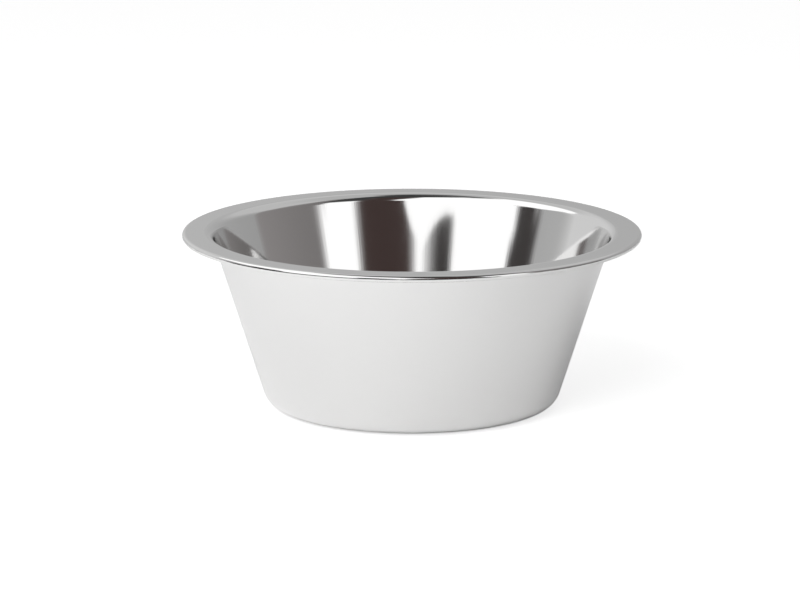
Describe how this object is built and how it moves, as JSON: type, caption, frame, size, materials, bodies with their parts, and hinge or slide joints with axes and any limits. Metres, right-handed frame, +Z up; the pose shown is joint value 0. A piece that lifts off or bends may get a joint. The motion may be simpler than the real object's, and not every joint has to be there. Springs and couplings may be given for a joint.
{
  "type": "dog bowl",
  "caption": "Round stainless feeding bowl pressed from sheet, with a flat flange, rolled lip, leaning wall and a bonded rubber anti-slip ring under its base.",
  "frame": {"origin": "middle of the base, on the surface that the rubber ring stands on", "axes": "+Z up along the bowl's axis, towards the open mouth; X and Y lie in the surface that it stands on"},
  "size_m": [0.21, 0.21, 0.0818],
  "materials": {
    "polished_steel": "polished",
    "ring_rubber": "matte"
  },
  "bodies": {
    "root": {"bowl_shell": "polished_steel", "anti_slip_ring": "ring_rubber"}
  },
  "joints": []
}
